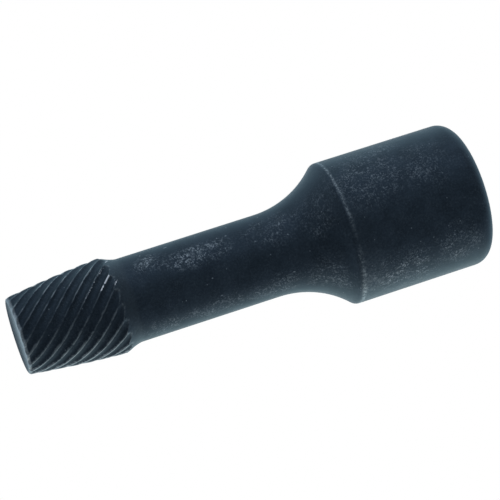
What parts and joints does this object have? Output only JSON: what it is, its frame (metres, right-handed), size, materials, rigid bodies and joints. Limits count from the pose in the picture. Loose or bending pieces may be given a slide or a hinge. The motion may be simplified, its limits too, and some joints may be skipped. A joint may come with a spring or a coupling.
{
  "type": "screw extractor",
  "caption": "One-piece steel screw extractor: round head with a female square drive, concave flare, plain shank and a short convex taper with left-hand spiral flutes.",
  "frame": {"origin": "centre of the drive face, the flat ring round the mouth of the square socket, on which the tool stands", "axes": "+Z along the tool's axis from the drive face to the fluted tip; X and Y square to the flats of the drive socket"},
  "size_m": [0.024, 0.024, 0.078],
  "materials": {
    "black_phosphate_steel": "blue-black phosphate on steel, satin, finely speckled, worn to pale grey along the flute crests and edges"
  },
  "bodies": {
    "root": {"extractor_body": "black_phosphate_steel"}
  },
  "joints": []
}
